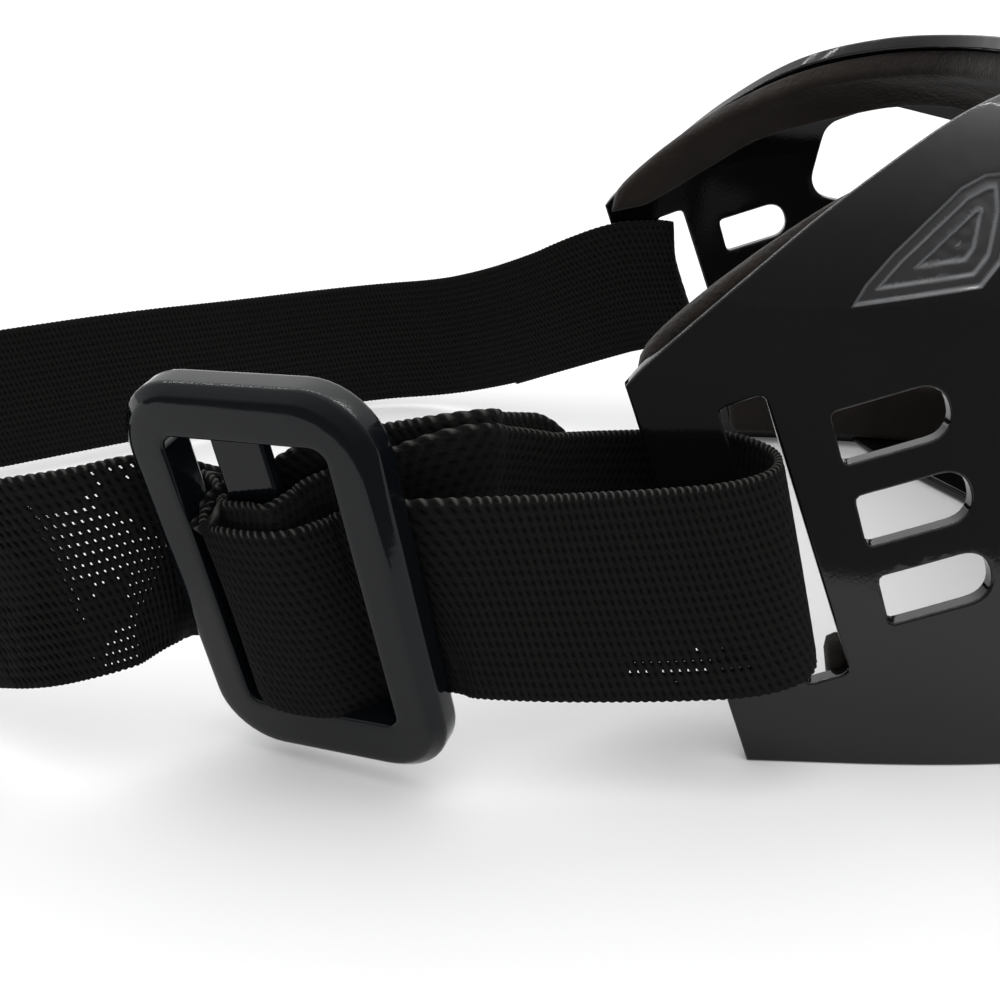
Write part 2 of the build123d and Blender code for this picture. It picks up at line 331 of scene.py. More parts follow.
def knitted_elastic():
    """Matt black yarn with painted shade, black in the stitch dents and darker in the edges' grooves, and a
    painted highlight, paler, on the upper edge's crests.
    """
    made, tree, shader = material("elastic", {
        "Base Color": grey(0.012), "Roughness": 0.8, "Specular IOR Level": 0.05,
        "Sheen Weight": 0.015, "Sheen Roughness": 0.35})
    # the dent value carries painted shade in the stitch dents and edge grooves; below zero it marks the
    # painted highlight on the upper edge's crests
    dent = point_value(tree, "dent")
    yarn = noise(tree, 5200, 3)
    shade = multiply(tree, span(tree, dent, 1.0, 0.0, 0.0, 1.0), span(tree, yarn, 0.6, 1.0))
    knit_painted_shade = mix_colour(tree, shade, grey(0.0003), (0.0090, 0.0088, 0.0084))
    # painted highlight: the upper edge's crests are mixed towards a pale grey
    painted_crest_highlight = mix_colour(tree, span(tree, dent, 1.0, 0.0, -1.0, 0.0), knit_painted_shade, (0.055, 0.054, 0.052))
    waves = bump(tree, noise(tree, 160, 2), 0.0004, under=bump(tree, yarn, 0.00012))
    set_inputs(shader, {"Base Color": painted_crest_highlight, "Normal": waves})
    return made


def sewing_thread():
    made, tree, shader = material("thread", {
        "Base Color": grey(0.016), "Roughness": 0.6, "Sheen Weight": 0.3})
    strand = noise(tree, 6000, 2)
    colour = mix_colour(tree, strand, grey(0.008), grey(0.03))
    set_inputs(shader, {"Base Color": colour, "Normal": bump(tree, strand, 0.0001)})
    return made


# ---- mesh helpers ----
def piece(name, verts, faces, look, replaced):
    """A mesh piece from millimetre points, with its finish and the CAD nodes it stands for."""
    mesh = bpy.data.meshes.new(name)
    mesh.from_pydata((np.asarray(verts) * MM).tolist(), [], faces)
    mesh.polygons.foreach_set("use_smooth", [True] * len(mesh.polygons))
    mesh.materials.append(look)
    mesh.validate()
    made = add_object(name, mesh)
    if replaced:
        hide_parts(*replaced)
    return made


def hold_values(made, name, values):
    """Gives each of the piece's points a number, for its material to read."""
    layer = made.data.attributes.new(name, "FLOAT", "POINT")
    layer.data.foreach_set("value", np.asarray(values, np.float32))


def weigh_normals(made, faces, verts):
    """Vertex normals weighted by face area, so flat stretches stay flat up to their rounded edges."""
    normals = area_normals(np.asarray(verts, float), faces)
    made.data.normals_split_custom_set_from_vertices(normals.tolist())


def area_normals(verts, faces):
    total = np.zeros_like(verts)
    for size in (3, 4):
        these = np.array([f for f in faces if len(f) == size], int)
        if not len(these):
            continue
        corner = verts[these]
        across = np.cross(corner[:, 2] - corner[:, 0], corner[:, -1] - corner[:, 1])
        for k in range(size):
            np.add.at(total, these[:, k], across)
    length = np.linalg.norm(total, axis=1)
    length[length < 1e-12] = 1
    return total / length[:, None]


def rings_to_mesh(rings, closed=False, capped=False):
    """Points and faces of a tube through the rings; closed joins its last ring to its first."""
    count = len(rings[0])
    verts = np.vstack(rings)
    faces = []
    for r in range(len(rings) if closed else len(rings) - 1):
        n = (r + 1) % len(rings)
        for k in range(count):
            m = (k + 1) % count
            faces.append((r * count + k, r * count + m, n * count + m, n * count + k))
    if capped:
        faces += [tuple(range(count))[::-1], tuple(range(len(verts) - count, len(verts)))]
    return verts, faces


# ---- the moulded form as a surface over a flat domain ----
# The domain is (s, a): s runs back from the nose along the widest plan curve, and a runs from
# the middle of the roof down each side, positive on the right side and negative on the left.
def section_size(x):
    u = np.clip((np.asarray(x, float) - TAPER_X) / (NOSE_X - TAPER_X), 0, 1)
    width = HALF_WIDTH * (1 - u ** PLAN_POWERS[0]) ** PLAN_POWERS[1]
    height = ROOF_HIGH - ROOF_FALL * u - NOSE_FALL * u ** NOSE_POWER
    return width, height


def plan_table(count=4000, rear_x=10.0):
    """x and s along the widest plan curve, closest together at the nose."""
    x = NOSE_X - np.linspace(0, 1, count) ** 2 * (NOSE_X - rear_x)
    return x, running_length(np.stack([x, section_size(x)[0]], 1))


PLAN_X, PLAN_S = plan_table()


def x_of(s):
    return np.interp(s, PLAN_S, PLAN_X)


def s_of(x):
    return np.interp(-np.asarray(x, float), -PLAN_X, PLAN_S)


def arch_tables(x, count=180, ease=2.1):
    """Half arches from the roof's middle to the shoulder, one row for each x."""
    width, height = section_size(x)
    shoulder = SHOULDER * height
    t = np.linspace(0, 1, count)
    turn = pi / 2 * t ** ease / (t ** ease + (1 - t) ** ease)
    across = width[:, None] * np.sin(turn) ** (2 / ARCH_POWER)
    up = shoulder[:, None] + (height - shoulder)[:, None] * np.cos(turn).clip(0) ** (2 / ARCH_POWER)
    run = np.hypot(np.diff(across, axis=1), np.diff(up, axis=1))
    arc = np.concatenate([np.zeros((len(x), 1)), np.cumsum(run, axis=1)], axis=1)
    return across, up, arc, shoulder


def on_form(domain):
    """Points of the outer surface for (s, a) rows."""
    domain = np.asarray(domain, float)
    x = x_of(domain[:, 0])
    across, up, arc, shoulder = arch_tables(x)
    a = np.abs(domain[:, 1])
    rows = np.arange(len(x))
    k = np.clip((arc < a[:, None]).sum(1), 1, arc.shape[1] - 1)
    t = (a - arc[rows, k - 1]) / np.maximum(arc[rows, k] - arc[rows, k - 1], 1e-9)
    below = a > arc[:, -1]
    t = np.where(below, 1.0, t)
    y = across[rows, k - 1] + (across[rows, k] - across[rows, k - 1]) * t
    z = up[rows, k - 1] + (up[rows, k] - up[rows, k - 1]) * t
    z = np.where(below, shoulder - (a - arc[:, -1]), z)
    return np.stack([x, -np.sign(domain[:, 1]) * y, z], 1)


def from_side(points, side):
    """Domain places for side-view (x, z) points; side is 1 on the right and -1 on the left."""
    points = np.asarray(points, float)
    _, up, arc, shoulder = arch_tables(points[:, 0])
    z = points[:, 1]
    a = np.array([np.interp(-level, -ups, runs) for level, ups, runs in zip(z, up, arc)])
    a = np.where(z < shoulder, arc[:, -1] + shoulder - z, a)
    return np.stack([s_of(points[:, 0]), side * a], 1)


def from_plan(points):
    """Domain places on the roof for plan (x, y) points."""
    points = np.asarray(points, float)
    across, _, arc, _ = arch_tables(points[:, 0])
    a = np.array([np.interp(abs(y), outs, runs) for y, outs, runs in zip(points[:, 1], across, arc)])
    return np.stack([s_of(points[:, 0]), -np.sign(points[:, 1]) * a], 1)


def from_front(points):
    """Domain places on the nose for front-view (y, z) points."""
    x = x_of(np.linspace(0.0, 60.0, 600))
    across, up, _, shoulder = arch_tables(x)
    places = []
    for y, z in points:
        reach = np.where(z < shoulder, across[:, -1],
                         [np.interp(-z, -ups, outs) for ups, outs in zip(up, across)])
        k = max(1, int(np.argmax(reach >= abs(y))))
        share = np.clip((abs(y) - reach[k - 1]) / max(reach[k] - reach[k - 1], 1e-9), 0, 1)
        here = x[k - 1] + (x[k] - x[k - 1]) * share
        if abs(y) < ROOF_SHARE * section_size(here)[0]:
            places.append(from_plan([(here, y)])[0])
        else:
            places.append(from_side([(here, z)], -1 if y > 0 else 1)[0])
    return np.array(places)


# ---- outlines ----
def smooth_line(points, steps=24):
    """Catmull-Rom curve through the points, ends included."""
    p = ends_added(points)
    t = np.linspace(0, 1, steps, endpoint=False)[:, None]
    curve = []
    for a, b, c, d in zip(p, p[1:], p[2:], p[3:]):
        curve.append(0.5 * (2 * b + (c - a) * t + (2 * a - 5 * b + 4 * c - d) * t ** 2
                            + (3 * b - a - 3 * c + d) * t ** 3))
    return np.vstack([*curve, p[-2][None]])


def even_loop(points, step, closed=True, sharp=25):
    """The line at even spacing, with a point on each corner that turns more than sharp degrees."""
    p = np.asarray(points, float)
    if closed:
        p = np.vstack([p, p[:1]])
    p = p[np.concatenate([[True], np.diff(running_length(p)) > 1e-6])]
    along = running_length(p)
    way = unit(np.diff(p, axis=0))
    bend = np.concatenate([[0], np.degrees(np.arccos(np.clip((way[1:] * way[:-1]).sum(1), -1, 1))), [0]])
    corners = [0] + [k for k in range(1, len(p) - 1) if bend[k] > sharp] + [len(p) - 1]
    made = []
    for a, b in zip(corners, corners[1:]):
        count = max(1, ceil((along[b] - along[a]) / step))
        at = np.linspace(along[a], along[b], count, endpoint=False)
        made.append(np.stack([np.interp(at, along, p[:, k]) for k in (0, 1)], 1))
    made = np.vstack(made)
    return made if closed else np.vstack([made, p[-1:]])


def rounded(corners, radius, steps=6):
    """Polygon with its corners rounded."""
    radii = [radius] * len(corners) if np.isscalar(radius) else radius
    p = np.asarray(corners, float)
    made = []
    for k, corner in enumerate(p):
        before, after = unit(p[k - 1] - corner), unit(p[(k + 1) % len(p)] - corner)
        half = np.arccos(np.clip(before @ after, -1, 1)) / 2
        cut = radii[k] / np.tan(half)
        start, stop = corner + before * cut, corner + after * cut
        centre = corner + unit(before + after) * radii[k] / np.sin(half)
        a0, a1 = start - centre, stop - centre
        turn = np.arctan2(a0[0] * a1[1] - a0[1] * a1[0], a0 @ a1)
        for t in np.linspace(0, 1, steps):
            c, s = np.cos(turn * t), np.sin(turn * t)
            made.append(centre + np.array([a0[0] * c - a0[1] * s, a0[0] * s + a0[1] * c]))
    return np.array(made)


def box_at(centre, long, wide, degrees, radius):
    """Rounded rectangle; radius may be four values, counter-clockwise from the front upper corner."""
    turn = radians(degrees)
    corners = []
    for sx, sy, _ in CORNERS:
        dx, dy = sx * long / 2, sy * wide / 2
        corners.append((centre[0] + dx * cos(turn) - dy * sin(turn),
                        centre[1] + dx * sin(turn) + dy * cos(turn)))
    return rounded(corners, radius)


def rim_line():
    """The basket's rear edge and rim in the side view, from the floor to the roof."""
    rim = smooth_line([TAB, *RIM])
    rise = np.linspace((LOWER_REAR_X, 0.0), TAB, 60)
    return np.vstack([rise[:-1], rim])


def kept_loop(step, samples=160):
    """The outline of the whole basket over the domain: rims, feet and the nose's middle line."""
    foot = np.zeros((samples, 2))
    foot[:, 0] = x_of(np.linspace(s_of(LOWER_REAR_X), 0, samples))
    right, left, right_foot, left_foot = (
        even_loop(from_side(line, side), step, False) for line in (rim_line(), foot) for side in (1, -1))
    down = from_side([(NOSE_X, 0.0)], 1)[0, 1]
    count = 2 * ceil(down / step) + 1
    nose = np.stack([np.zeros(count), np.linspace(-down, down, count)], 1)
    return np.vstack([right[:-1], left[::-1], left_foot[1:-1], nose, right_foot[1:-1][::-1]])


def openings(step):
    """Outlines of every opening over the domain: the strap slots and vents, the windows, and
    the slots in the nose and roof."""
    turn = radians(LEAN)
    cuts = [box_at(SLOT_CENTRE, SLOT_LONG, SLOT_WIDE, 90 + LEAN, SLOT_CORNER)]
    for row in range(3):
        spot = (FIRST_VENT[0] + row * sin(turn) * VENT_PITCH, FIRST_VENT[1] - row * cos(turn) * VENT_PITCH)
        cuts.append(box_at(spot, VENT_LONG, VENT_WIDE, LEAN - 2, (2.5, 0.7, 0.7, 2.5)))
    cuts += [rounded(WINDOW, 4.0), rounded(LOW_WINDOW, 4.0)]
    loops = [from_side(even_loop(cut, CUT_STEP), side) for side in (1, -1) for cut in cuts]
    for up, count in NOSE_SLOT_ROWS:
        for k in range(count):
            spot = ((k - (count - 1) / 2) * NOSE_SLOT_PITCH, up)
            loops.append(from_front(even_loop(box_at(spot, *NOSE_SLOT), CUT_STEP)))
    loops += [from_plan(even_loop(box_at(spot, *ROOF_SLOT), CUT_STEP)) for spot in ROOF_SLOT_SPOTS]
    return [even_loop(loop, step) for loop in loops]


# ---- sheets cut from the form ----
def left_of(ways):
    return np.stack([-ways[:, 1], ways[:, 0]], 1)


def push(loop, distance):
    """The loop moved to its left by distance, corners mitred."""
    middle = left_of(unit(loop - np.roll(loop, 1, 0))) + left_of(unit(np.roll(loop, -1, 0) - loop))
    length = np.linalg.norm(middle, axis=1)[:, None]
    return loop + middle / length * distance / np.clip(length / 2, 0.6, 1)


def area_of(loop):
    nxt = np.roll(loop, -1, 0)
    return 0.5 * (loop[:, 0] * nxt[:, 1] - loop[:, 1] * nxt[:, 0]).sum()


def inside(points, loops):
    """Even-odd test of points against all the loops together."""
    odd = np.zeros(len(points), bool)
    px, py = points[:, 0], points[:, 1]
    for loop in loops:
        for (x0, y0), (x1, y1) in zip(loop, np.roll(loop, -1, 0)):
            if y0 == y1:
                continue
            crosses = ((y0 > py) != (y1 > py)) & (px < (x1 - x0) * (py - y0) / (y1 - y0) + x0)
            odd ^= crosses
    return odd


def far_enough(points, loops, distance, batch=2000):
    """Which points are at least that distance from every loop's points."""
    keep = np.ones(len(points), bool)
    for loop in loops:
        low, high = loop.min(0) - distance, loop.max(0) + distance
        near = np.where(keep & (points > low).all(1) & (points < high).all(1))[0]
        for start in range(0, len(near), batch):
            some = near[start:start + batch]
            gap = np.linalg.norm(points[some][:, None] - loop[None], axis=2).min(1)
            keep[some[gap < distance]] = False
    return keep


def triangulated(border, holes, rings, spacing, extra=()):
    """Triangles over the domain between border and holes, with rings along every edge.

    Returns the domain points, the triangles and each point's ring number, or -1 inside.
    """
    border = border if area_of(border) > 0 else border[::-1]
    holes = [h if area_of(h) < 0 else h[::-1] for h in holes]
    points, edges, ring_of = [], [], []
    for loop in [border, *holes]:
        for number, distance in enumerate(rings):
            ring = push(loop, distance) if distance else loop
            seam = loop[:, 0] < 1e-9
            ring[seam] = loop[seam]
            base = len(points)
            points += ring.tolist()
            ring_of += [number] * len(ring)
            edges += [(base + k, base + (k + 1) % len(ring)) for k in range(len(ring))]
    low, high = border.min(0), border.max(0)
    grid = []
    for k, row in enumerate(np.arange(low[1], high[1], spacing * 0.866)):
        places = np.arange(low[0] + spacing * (0.5 * (k % 2) + 0.3), high[0], spacing)
        grid.append(np.stack([places, np.full(len(places), row)], 1))
    grid = np.vstack(grid)
    if len(extra):
        grid = grid[far_enough(grid, [extra], spacing * 0.7)]
        grid = np.vstack([grid, extra])
    grid = grid[inside(grid, [border, *holes])]
    grid = grid[far_enough(grid, [border, *holes], rings[-1] + 0.35 * min(spacing, 1.2))]
    points += grid.tolist()
    ring_of += [-1] * len(grid)
    verts, _, faces, origins, _, _ = delaunay_2d_cdt([Vector(p) for p in points], edges, [], 0, 1e-6)
    domain = np.array([tuple(v) for v in verts])
    rings_out = np.array([max(ring_of[k] for k in ids) if ids else -1 for ids in origins])
    zero = [k for k, ids in enumerate(origins) if any(ring_of[i] == 0 for i in ids)]
    rings_out[zero] = 0
    tris = np.array([tuple(f) for f in faces])
    tris = tris[inside(domain[tris].mean(1), [border, *holes])]
    return domain, tris, rings_out


def join_nose(domain, tris, points):
    """Makes one of the points that meet on the nose's middle line; returns the points in use and
    the triangles over them."""
    first, merged = {}, np.arange(len(points))
    for k in np.where(domain[:, 0] < 1e-6)[0]:
        merged[k] = first.setdefault(tuple(np.round(points[k], 3)), k)
    tris = merged[tris]
    tris = tris[(tris[:, 0] != tris[:, 1]) & (tris[:, 1] != tris[:, 2]) & (tris[:, 0] != tris[:, 2])]
    used, renumbered = np.unique(tris, return_inverse=True)
    return used, renumbered.reshape(-1, 3)


def open_edges(tris):
    edges = dict.fromkeys(edge for a, b, c in tris.tolist() for edge in ((a, b), (b, c), (c, a)))
    return [(a, b) for a, b in edges if (b, a) not in edges]


def form_sheet(name, border, holes, front, back, radius, spacing, look, replaced,
               extra=(), relief=None, puff=None):
    """A closed sheet that follows the form, from depth front to depth back inside its outer
    surface, with its edges rounded to radius. relief(points) sinks the front by that much, and
    puff(points, normals, ring_of) moves the back."""
    turns = [radians(k) for k in (0, 35, 65, 90)]
    rings = [radius * (1 - cos(turn)) for turn in turns]
    depths = np.array([radius * (1 - sin(turn)) for turn in turns])
    domain, tris, ring_of = triangulated(border, holes, rings, spacing, extra)
    points = on_form(domain)
    used, tris = join_nose(domain, tris, points)
    points = points[used]
    ring_of = np.where(domain[used][:, 0] < 1e-6, -1, ring_of[used])
    normals = area_normals(points, tris.tolist())
    if (normals * (points - np.array(FORM_MIDDLE))).sum(1).mean() < 0:
        tris, normals = tris[:, ::-1], -normals
    depth = np.where(ring_of < 0, 0.0, depths[np.clip(ring_of, 0, len(depths) - 1)])
    sunk = depth + (relief(points) if relief else 0.0)
    outer = points - normals * (front + sunk)[:, None]
    inner = points - normals * (back - depth)[:, None]
    if puff:
        inner = inner + puff(points, normals, ring_of)
    count = len(points)
    faces = tris.tolist() + (tris[:, ::-1] + count).tolist()
    faces += [(b, a, a + count, b + count) for a, b in open_edges(tris)]
    verts = np.vstack([outer, inner])
    made = piece(name, verts, faces, look, replaced)
    weigh_normals(made, faces, verts)
    return made


# ---- basket ----
LEDGE = [(43.7, 53.5), (56.4, 55.5), (58.2, 58.0), (58.9, 62.5), (58.6, 66.4), (56.1, 66.2), (53.7, 65.0),
         (50.4, 61.9), (47.4, 58.9), (44.9, 55.8)]
LEDGE_STEPS = ((0.0, 0.45), (1.2, 0.3), (2.7, 0.33), (4.1, 0.25))
RISER = 0.42
# painted highlight on the ledge: a little on the panel, most on the steps' risers
PANEL_HIGHLIGHT_PAINT, RISER_HIGHLIGHT_PAINT = 0.18, 0.82
WHORL, WHORL_PITCH, WHORL_HIGH = (54.6, 61.4), 1.5, 0.05


def inset_depth(points):
    """How far each (x, z) point lies inside the ledge's outline; negative outside."""
    loop = np.array(LEDGE)
    inwards = left_of(unit(np.roll(loop, -1, 0) - loop))
    return np.min([(points - corner) @ inward for corner, inward in zip(loop, inwards)], axis=0)


def down_riser(deep, start):
    """0 to 1 down one of the ledge's steps."""
    return np.clip((deep - start) / RISER, 0, 1)


def ledge_relief(points):
    """Steps down into the panel above the vents, on both sides."""
    deep = inset_depth(points[:, [0, 2]])
    sunk = np.zeros(len(points))
    for start, drop in LEDGE_STEPS:
        t = down_riser(deep, start)
        sunk += drop * t * t * (3 - 2 * t)
    reach = np.hypot(points[:, 0] - WHORL[0], points[:, 2] - WHORL[1])
    calm = np.clip(deep - 0.8, 0, 1) * np.clip(1.3 - reach / 6, 0, 1)
    return sunk + WHORL_HIGH * np.cos(2 * pi * reach / WHORL_PITCH) * calm


def ledge_points():
    """Extra domain points: close rings along each of the ledge's steps, and a fine grid between."""
    outline = np.array(LEDGE)
    side = []
    for start, _ in LEDGE_STEPS:
        for place in (-0.25, 0.0, 0.2, 0.4, 0.6, 0.8, 1.0, 1.5):
            side.append(even_loop(push(outline, start + place * RISER), 0.32))
    side = np.vstack(side)
    x, z = np.meshgrid(np.arange(42.5, 60, 0.36), np.arange(52.0, 68.0, 0.36))
    grid = np.stack([x.ravel(), z.ravel()], 1)
    grid = grid[inset_depth(grid) > -0.8]
    grid = grid[far_enough(grid, [side], 0.22)]
    side = np.vstack([side, grid])
    return np.vstack([from_side(side, 1), from_side(side, -1)])


def ledge_painted_highlight(points):
    """How much painted highlight each point gets: a little on the panel, and most on its steps; it stands in
    for light they reflect.
    """
    deep = inset_depth(points[:, [0, 2]])
    painted_highlight = PANEL_HIGHLIGHT_PAINT * np.clip(deep / 0.5, 0, 1)
    for start, _ in LEDGE_STEPS:
        t = down_riser(deep, start)
        painted_highlight += RISER_HIGHLIGHT_PAINT * 4 * t * (1 - t)
    return painted_highlight


def basket(look):
    made = form_sheet("shell_body", kept_loop(0.9), openings(0.7), 0.0, WALL, 0.32, 1.9, look,
                      ["shell"], extra=ledge_points(), relief=ledge_relief)
    # painted highlight on the ledge panel and its steps, read by the shell's material
    painted_highlight = ledge_painted_highlight(np.array([vertex.co for vertex in made.data.vertices]) / MM)
    painted_highlight[len(painted_highlight) // 2:] = 0     # the inside, the second half of the points, stays plain
    hold_values(made, "ledge", painted_highlight)
    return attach(made, "root")


def chin_plate(look):
    """The floor of the nose, inside the walls, with the jaw's arc at its back."""
    low, high, rounding, gap = 0.12, WALL, 0.4, 0.9
    x = x_of(np.linspace(s_of(71.0), 0.0, 60))
    width = section_size(x)[0] - gap
    edge = np.stack([x.clip(max=NOSE_X - gap), width.clip(min=0.0)], 1)
    arc = smooth_line(JAW_ARC, 16)
    arc = arc[np.abs(arc[:, 1]) < JAW_ARC[0][1] - 0.1]
    loop = even_loop(np.vstack([edge, edge[::-1][1:] * [1, -1], arc[::-1]]), 2.0)
    loop = loop if area_of(loop) > 0 else loop[::-1]
    rings = [(low, rounding), (low + rounding, 0.0), (high - rounding, 0.0), (high, rounding)]
    verts, faces = rings_to_mesh(
        [np.column_stack([push(loop, inset), np.full(len(loop), z)]) for z, inset in rings], capped=True)
    made = piece("chin_plate", verts, faces, look, [])
    for polygon in made.data.polygons:
        polygon.use_smooth = len(polygon.vertices) == 4
    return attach(made, "root")


# ---- foam ----
FOAM_PROUD = (1.4, 1.6, 0.7, -0.1, -0.2, -0.2)     # how far the foam rises past each rim point
RIM_FOAM_LOW = [(89.5, 71.2), (89.3, 69.0), (86.0, 66.8), (80.0, 67.5), (71.0, 66.5), (60.0, 62.8),
                (49.0, 58.8), (41.0, 53.6), (34.5, 49.2), (29.0, 45.8)]
LOWER_FOAM = [(47.6, 2.2), (45.4, 14.6), (96.0, 13.0), (96.0, 2.2)]
FOAM_SWELL = 0.075


def foam_puff(seed):
    """Uneven swelling of a foam strip's soft face, none at its edges."""
    pick = Random(seed)
    waves = [(pick.uniform(0.12, 0.55), pick.uniform(0, 2 * pi), pick.uniform(0, 2 * pi)) for _ in range(6)]

    def moved(points, normals, ring_of):
        x, y, z = points.T
        lumps = np.zeros(len(points))
        for rate, turn, start in waves:
            lumps += np.sin(rate * (x * cos(turn) + z * sin(turn) + 0.6 * y) + start)
        return -normals * (FOAM_SWELL * (ring_of < 0) * lumps)[:, None]

    return moved


def foam_strip(name, loop, seed, node, look):
    made = form_sheet(name, loop, [], WALL + 0.05, WALL + FOAM_THICK, 1.3, 1.5, look, [node],
                      puff=foam_puff(seed))
    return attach(made, "root")


def rim_foam(look):
    upper = [(TAB[0] + 1.2, TAB[1] - 0.6)] + [(x + 0.4, z + rise) for (x, z), rise in zip(RIM, FOAM_PROUD)]
    right, left, low_right, low_left = (
        even_loop(from_side(smooth_line(line), side), 1.4, False)
        for line in (upper, RIM_FOAM_LOW) for side in (1, -1))
    loop = even_loop(np.vstack([right, left[::-1], low_left[::-1], low_right]), 1.4)
    return foam_strip("rim_foam_strip", loop, 5, "rim_foam", look)


def lower_foam(side, name, node, look):
    outline = even_loop(rounded(LOWER_FOAM, 1.2), CUT_STEP)
    return foam_strip(name, even_loop(from_side(outline, side), 1.3), 11 + side, node, look)


# ---- slider ----
def slider_axes():
    along, out = Vector(SLIDER_ALONG).normalized(), Vector(SLIDER_OUTWARD).normalized()
    out = (out - out.dot(along) * along).normalized()
    return np.array([along, out.cross(along), out])


SLIDER_AXES = slider_axes()


def on_slider(points):
    """Frame points for slider places: along the strap, up the bar, outwards."""
    return np.asarray(points, float) @ SLIDER_AXES + np.array(SLIDER_CENTRE)


def frame_ring(long, wide, radius, lift, corner_steps=10, side_steps=8):
    """Rounded rectangle with a fixed number of points, so that rings can be joined."""
    made = []
    for (sx, sy, start), (nx, ny, _) in zip(CORNERS, CORNERS[1:] + CORNERS[:1]):
        middle = np.array([sx * (wide / 2 - radius), sy * (long / 2 - radius) + lift])
        following = np.array([nx * (wide / 2 - radius), ny * (long / 2 - radius) + lift])
        for k in range(corner_steps + 1):
            turn = radians(start + 90 * k / corner_steps)
            made.append(middle + radius * np.array([cos(turn), sin(turn)]))
        made += [made[-1] + (following - middle) * k / side_steps for k in range(1, side_steps)]
    return np.array(made)


def slider(look):
    rings = []
    for inset, height in SLIDER_SIDE:
        long, wide = SLIDER_LONG - 2 * inset, SLIDER_WIDE - 2 * inset
        rings.append((frame_ring(long, wide, 7.5 - inset * 0.6, 0.0), height))
    wide, long = SLIDER_WINDOW
    for inset, height in WINDOW_SIDE:
        rings.append((frame_ring(long + 2 * inset, wide + 2 * inset, 1.6 + inset * 0.9, WINDOW_LIFT), height))
    rings = [np.column_stack([ring, height - SLIDER_BOW * (ring[:, 1] / (SLIDER_LONG / 2)) ** 2])
             for ring, height in rings]
    verts, faces = rings_to_mesh(rings, closed=True)
    bar_verts, bar_faces = slider_bar()
    faces += [tuple(k + len(verts) for k in face) for face in bar_faces]
    verts = on_slider(np.vstack([verts, bar_verts]))
    made = piece("slider_frame", verts, faces, look, ["slider"])
    weigh_normals(made, faces, verts)
    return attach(made, "slider")


def slider_bar(sunk=0.8):
    """The bar across the window, its ends sunk into the frame."""
    along, out = (frame_ring(BAR_THICK, BAR_WIDE, 0.5, 0.0, 4, 1) - (BAR_SHIFT, BAR_SET_BACK)).T
    rise = WINDOW_LIFT + (SLIDER_WINDOW[1] / 2 + sunk) * np.linspace(1, -1, 13)
    return rings_to_mesh([np.column_stack([along, np.full(len(along), up), out]) for up in rise], capped=True)


# ---- elastic strap ----
# One length of webbing from its far sewn end to its near sewn end. Each control point is
# (x, y, lower edge z, lean, tip), leaning back and tipping out in degrees, or (along, out, up)
# on the slider.
FAR_FOLD = [(4.6, 63.4, 7.4, 2, 0), (12.0, 59.0, 11.4, 7, 0), (22.0, 59.6, 14.6, 14, 0),
            (30.0, 60.1, 16.6, 19, 0), (35.0, 59.4, 17.6, 20, 0), (37.9, 57.0, 17.9, 20.5, 0),
            (36.8, 54.1, 18.0, 20, 0), (33.0, 52.9, 18.2, 16, 0), (26.5, 52.9, 17.8, 12, 0),
            (18.0, 54.0, 15.0, 7, 0)]
NECK = [(9.5, 57.6, 10.9, 3, 0), (0.0, 64.0, 6.4, 0, 0), (-11.0, 71.0, 2.4, 0, 0), (-24.0, 71.4, 1.2, 0, 0),
        (-37.0, 65.0, 1.0, 0, 0), (-50.0, 52.5, 1.8, 0, 0), (-66.0, 38.0, 3.0, 0, 0),
        (-86.0, 23.5, 2.6, 0, 0), (-108.0, 9.0, 1.9, 0, 0), (-125.5, -3.0, 1.2, 0, 0),
        (-131.9, -15.0, 0.8, 0, 0), (-128.5, -27.0, 0.8, 0, 0), (-117.0, -36.5, 1.0, 0, 0),
        (-99.0, -43.0, 1.5, 0, 0), (-78.0, -48.5, 2.6, 0, 0), (-59.0, -56.0, 6.4, 0, 0),
        (-47.0, -62.9, 10.2, 1, 0)]
NEAR = [(-40.5, -65.6, 12.2, 2, 1), (-34.3, -64.2, 12.9, 5, 4), (-29.0, -59.0, 13.0, 7, 7)]
HUMP = [(-15.5, -6.3, -3.2), (-11.5, -5.3, -3.4), (-9.4, -3.6, -3.6), (-8.9, -0.2, -4.2), (-7.4, 2.1, -4.6),
        (-3.2, 2.6, -4.6), (1.6, 2.2, -4.6), (4.4, -0.6, -4.8), (6.6, -3.1, -4.7), (11.5, -3.4, -3.5)]
OUTER = [(3.2, -67.9, 12.7, 8.7, 9), (9.5, -67.5, 12.7, 9, 6), (17.0, -66.1, 12.3, 10, 3),
         (26.5, -65.3, 12.5, 11, 1), (34.0, -64.9, 13.1, 12, 0), (39.3, -63.0, 14.0, 13, 0),
         (40.5, -58.4, 14.4, 14, 0)]
INNER = [(38.2, -53.4, 14.2, 16, 0), (34.2, -48.9, 13.4, 15, 0), (28.0, -46.8, 12.3, 12, 0),
         (20.0, -48.6, 12.8, 10, 2), (14.2, -53.2, 14.6, 8.5, 5), (10.1, -57.6, 16.8, 8.5, 8)]
LOOP = [(17.0, -9.0, 2.4), (10.5, -6.0, 0.8), (4.2, -4.1, -0.9), (2.2, -1.2, -1.4), (1.0, 0.75, -1.7),
        (-2.3, 0.95, -2.1), (-5.5, 0.6, -2.5), (-6.7, -1.1, -2.6), (-5.5, -2.9, -1.4), (-0.2, -3.7, 0.7),
        (4.3, -6.0, 2.4), (10.5, -7.7, 3.0), (17.4, -10.8, 3.1)]
SEWN_END = [(9.4, -56.5, 18.0, 8.5, 8), (12.6, -52.9, 16.6, 8.5, 6), (14.2, -51.4, 14.4, 9, 5)]
FACE_REACH = STRAP_WIDE / 2 - 0.75     # half the width of the flat faces, inside the twisted edges
HALF_WEB, DENT_DEEP, EDGE_THIN = 0.52, 0.15, 0.10
DENT_LONG, DENT_TALL, DENT_SLANT = 0.19, 0.42, 0.42
